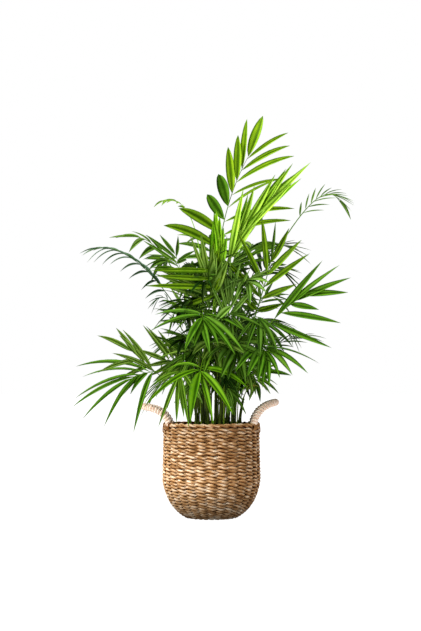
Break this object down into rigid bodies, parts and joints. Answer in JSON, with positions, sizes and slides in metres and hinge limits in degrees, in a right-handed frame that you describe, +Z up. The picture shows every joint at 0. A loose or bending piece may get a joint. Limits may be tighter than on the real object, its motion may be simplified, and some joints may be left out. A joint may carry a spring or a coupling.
{
  "type": "parlour palm in wicker basket",
  "caption": "Clump of slender parlour palm canes with arching feather fronds, growing in soil in a round wicker basket that has a thick border and rope loop handles.",
  "frame": {"origin": "middle of the basket's flat underside, on the surface that it stands on", "axes": "+Z up, -Y towards the front that the picture shows, the rope handles on -X and +X"},
  "size_m": [0.5903, 0.523, 0.8355],
  "materials": {
    "wicker": "matt",
    "rope": "matt",
    "soil": "matt",
    "cane": "satin",
    "leaf_lime": "satin",
    "leaf_fresh": "satin",
    "leaf_mid": "satin",
    "leaf_olive": "satin",
    "leaf_bluish": "satin",
    "leaf_dark": "satin",
    "leaf_yellowing": "satin"
  },
  "bodies": {
    "root": {"basket_shell": "wicker", "basket_border": "wicker", "soil": "soil", "handle_left": "rope", "handle_right": "rope", "cane_1": "cane", "cane_2": "cane", "cane_3": "cane", "cane_4": "cane", "cane_5": "cane", "cane_6": "cane", "cane_7": "cane", "cane_8": "cane", "cane_9": "cane", "cane_10": "cane", "frond_top": "leaf_fresh", "frond_spear_right": "leaf_lime", "frond_spear_left": "leaf_lime", "frond_front_low": "leaf_fresh", "frond_front_middle": "leaf_fresh", "frond_right_middle": "leaf_fresh", "frond_right": "leaf_fresh", "frond_right_low": "leaf_fresh", "frond_right_foot": "leaf_yellowing", "frond_right_wispy": "leaf_olive", "frond_right_back": "leaf_dark", "frond_right_shade": "leaf_dark", "frond_left_high": "leaf_bluish", "frond_left_top": "leaf_olive", "frond_left_level": "leaf_fresh", "frond_left_small": "leaf_olive", "frond_left_wispy": "leaf_lime", "frond_left_tuft": "leaf_dark", "frond_left_middle": "leaf_mid", "frond_left_fan": "leaf_mid", "frond_left_low": "leaf_mid", "frond_left_foot": "leaf_fresh", "frond_left_back_low": "leaf_mid", "frond_centre_high": "leaf_olive", "frond_centre": "leaf_mid", "frond_centre_low": "leaf_dark", "frond_front_right": "leaf_mid", "frond_front_left": "leaf_mid", "frond_inner_front": "leaf_mid", "frond_inner_left": "leaf_dark", "frond_inner_right": "leaf_dark", "frond_inner_low": "leaf_mid", "frond_inner_high": "leaf_olive", "frond_back_high": "leaf_mid", "frond_back_top": "leaf_olive", "frond_back_left_high": "leaf_mid", "frond_back_left": "leaf_mid", "frond_back": "leaf_mid", "frond_back_right": "leaf_mid", "frond_back_low": "leaf_dark", "frond_back_right_low": "leaf_dark", "frond_back_left_low": "leaf_dark", "frond_side_right": "leaf_dark", "frond_side_right_low": "leaf_mid", "frond_middle": "leaf_dark"}
  },
  "joints": []
}
